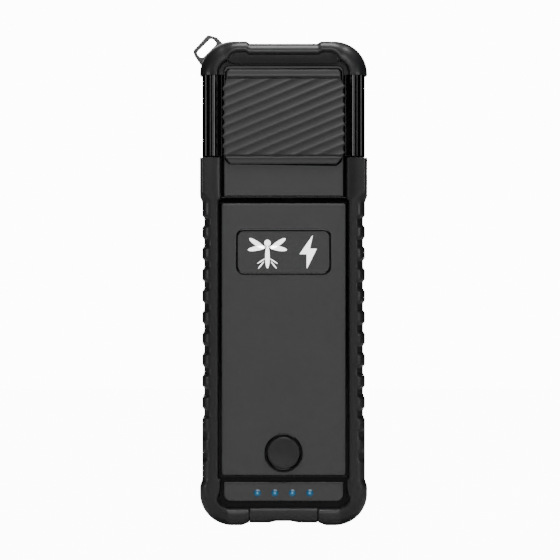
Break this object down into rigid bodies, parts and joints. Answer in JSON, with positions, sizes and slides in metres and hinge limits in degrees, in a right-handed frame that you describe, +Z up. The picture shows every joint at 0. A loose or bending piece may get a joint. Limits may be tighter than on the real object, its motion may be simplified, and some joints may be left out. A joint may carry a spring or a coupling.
{
  "type": "electric fly swatter",
  "caption": "Pocket electric fly swatter: a rugged grip with button, lamps and port cover, and a head that slides up and draws out a high-voltage net.",
  "frame": {"origin": "centre of the base between the feet, on the plane that the feet stand on", "axes": "+Z up along the handle towards the head, -Y out of the front plate, +X to the right seen from the front"},
  "size_m": [0.0606, 0.03, 0.1704],
  "materials": {
    "bumper_rubber": "soft black, faint satin sheen",
    "cover_rubber": "soft black",
    "pad_rubber": "matt dark grey, ribbed",
    "casing_black": "fine spark texture",
    "casing_inner": "plain moulded",
    "casing_gloss": "polished black",
    "plate_graphite": "satin graphite",
    "button_ring": "polished black",
    "button_rubber": "satin black",
    "switch_plastic": "plain moulded",
    "lamp_lens": "clear blue",
    "lamp_chip": "white",
    "circuit_board": "green solder mask",
    "port_steel": "bright",
    "chip_resin": "moulded",
    "cell_foil": "crinkled foil",
    "foam_grey": "open foam",
    "cable_orange": "film",
    "lead_red": "soft insulation",
    "lead_black": "soft insulation",
    "ferrite": "matt",
    "winding_copper": "enamelled copper",
    "capacitor_sleeve": "shrunk sleeve",
    "contact_brass": "bright",
    "reed_glass": "clear",
    "steel_bright": "zinc plated",
    "loop_graphite": "satin graphite",
    "rail_black": "moulded nylon",
    "collar_white": "acetal",
    "magnet_nickel": "nickel plated",
    "net_steel": "drawn wire"
  },
  "bodies": {
    "handle": {"battery_cell": "cell_foil", "battery_foam": "foam_grey", "battery_lead_black": "lead_black", "battery_lead_red": "lead_red", "booster_board": "circuit_board", "booster_capacitors": "capacitor_sleeve", "booster_diodes": "chip_resin", "booster_transistor": "chip_resin", "button_bezel": "button_ring", "control_chips": "chip_resin", "earth_brush": "contact_brass", "front_plate": "plate_graphite", "handle_bumper": "bumper_rubber", "handle_front_shell": "casing_black", "handle_rear_shell": "casing_black", "indicator_lamps": "lamp_chip", "indicator_plate": "plate_graphite", "light_pipes": "lamp_lens", "link_cable": "cable_orange", "live_brush": "contact_brass", "main_board": "circuit_board", "mid_frame": "casing_inner", "mouth_collar": "collar_white", "port_cover_pin": "steel_bright", "reed_switch": "reed_glass", "shell_screws": "steel_bright", "switch_body": "switch_plastic", "transformer_core": "ferrite", "transformer_winding": "winding_copper", "usb_port": "port_steel"},
    "head": {"head_front_shell": "casing_gloss", "head_rear_shell": "casing_gloss", "cap_bumper": "bumper_rubber", "lanyard_loop": "loop_graphite", "lanyard_rivet": "steel_bright", "head_plate": "plate_graphite", "grip_pad": "pad_rubber", "rail_left": "rail_black", "rail_right": "rail_black", "rail_screws": "steel_bright", "net_top_bar": "rail_black", "carriage": "rail_black", "live_contact": "contact_brass", "earth_contact": "contact_brass", "interlock_magnet": "magnet_nickel", "glide_pads": "collar_white", "guard_net_front": "net_steel", "guard_net_rear": "net_steel", "live_wires": "net_steel"},
    "button": {"power_button": "button_rubber", "switch_plunger": "switch_plastic"},
    "port_cover": {"port_cover": "cover_rubber"}
  },
  "joints": [
    {"name": "head_slide", "type": "slide", "parent": "handle", "child": "head", "axis": [0, 0, 1], "range_m": [0, 0.0993]},
    {"name": "button_press", "type": "slide", "parent": "handle", "child": "button", "axis": [0, 1, 0], "range_m": [0, 0.0008], "stiffness_N_per_m": 1500, "springref_m": -0.0006},
    {"name": "port_cover_hinge", "type": "hinge", "parent": "handle", "child": "port_cover", "pos_m": [0, -0.0032, 0.0017], "axis": [1, 0, 0], "range_deg": [0, 110]}
  ]
}
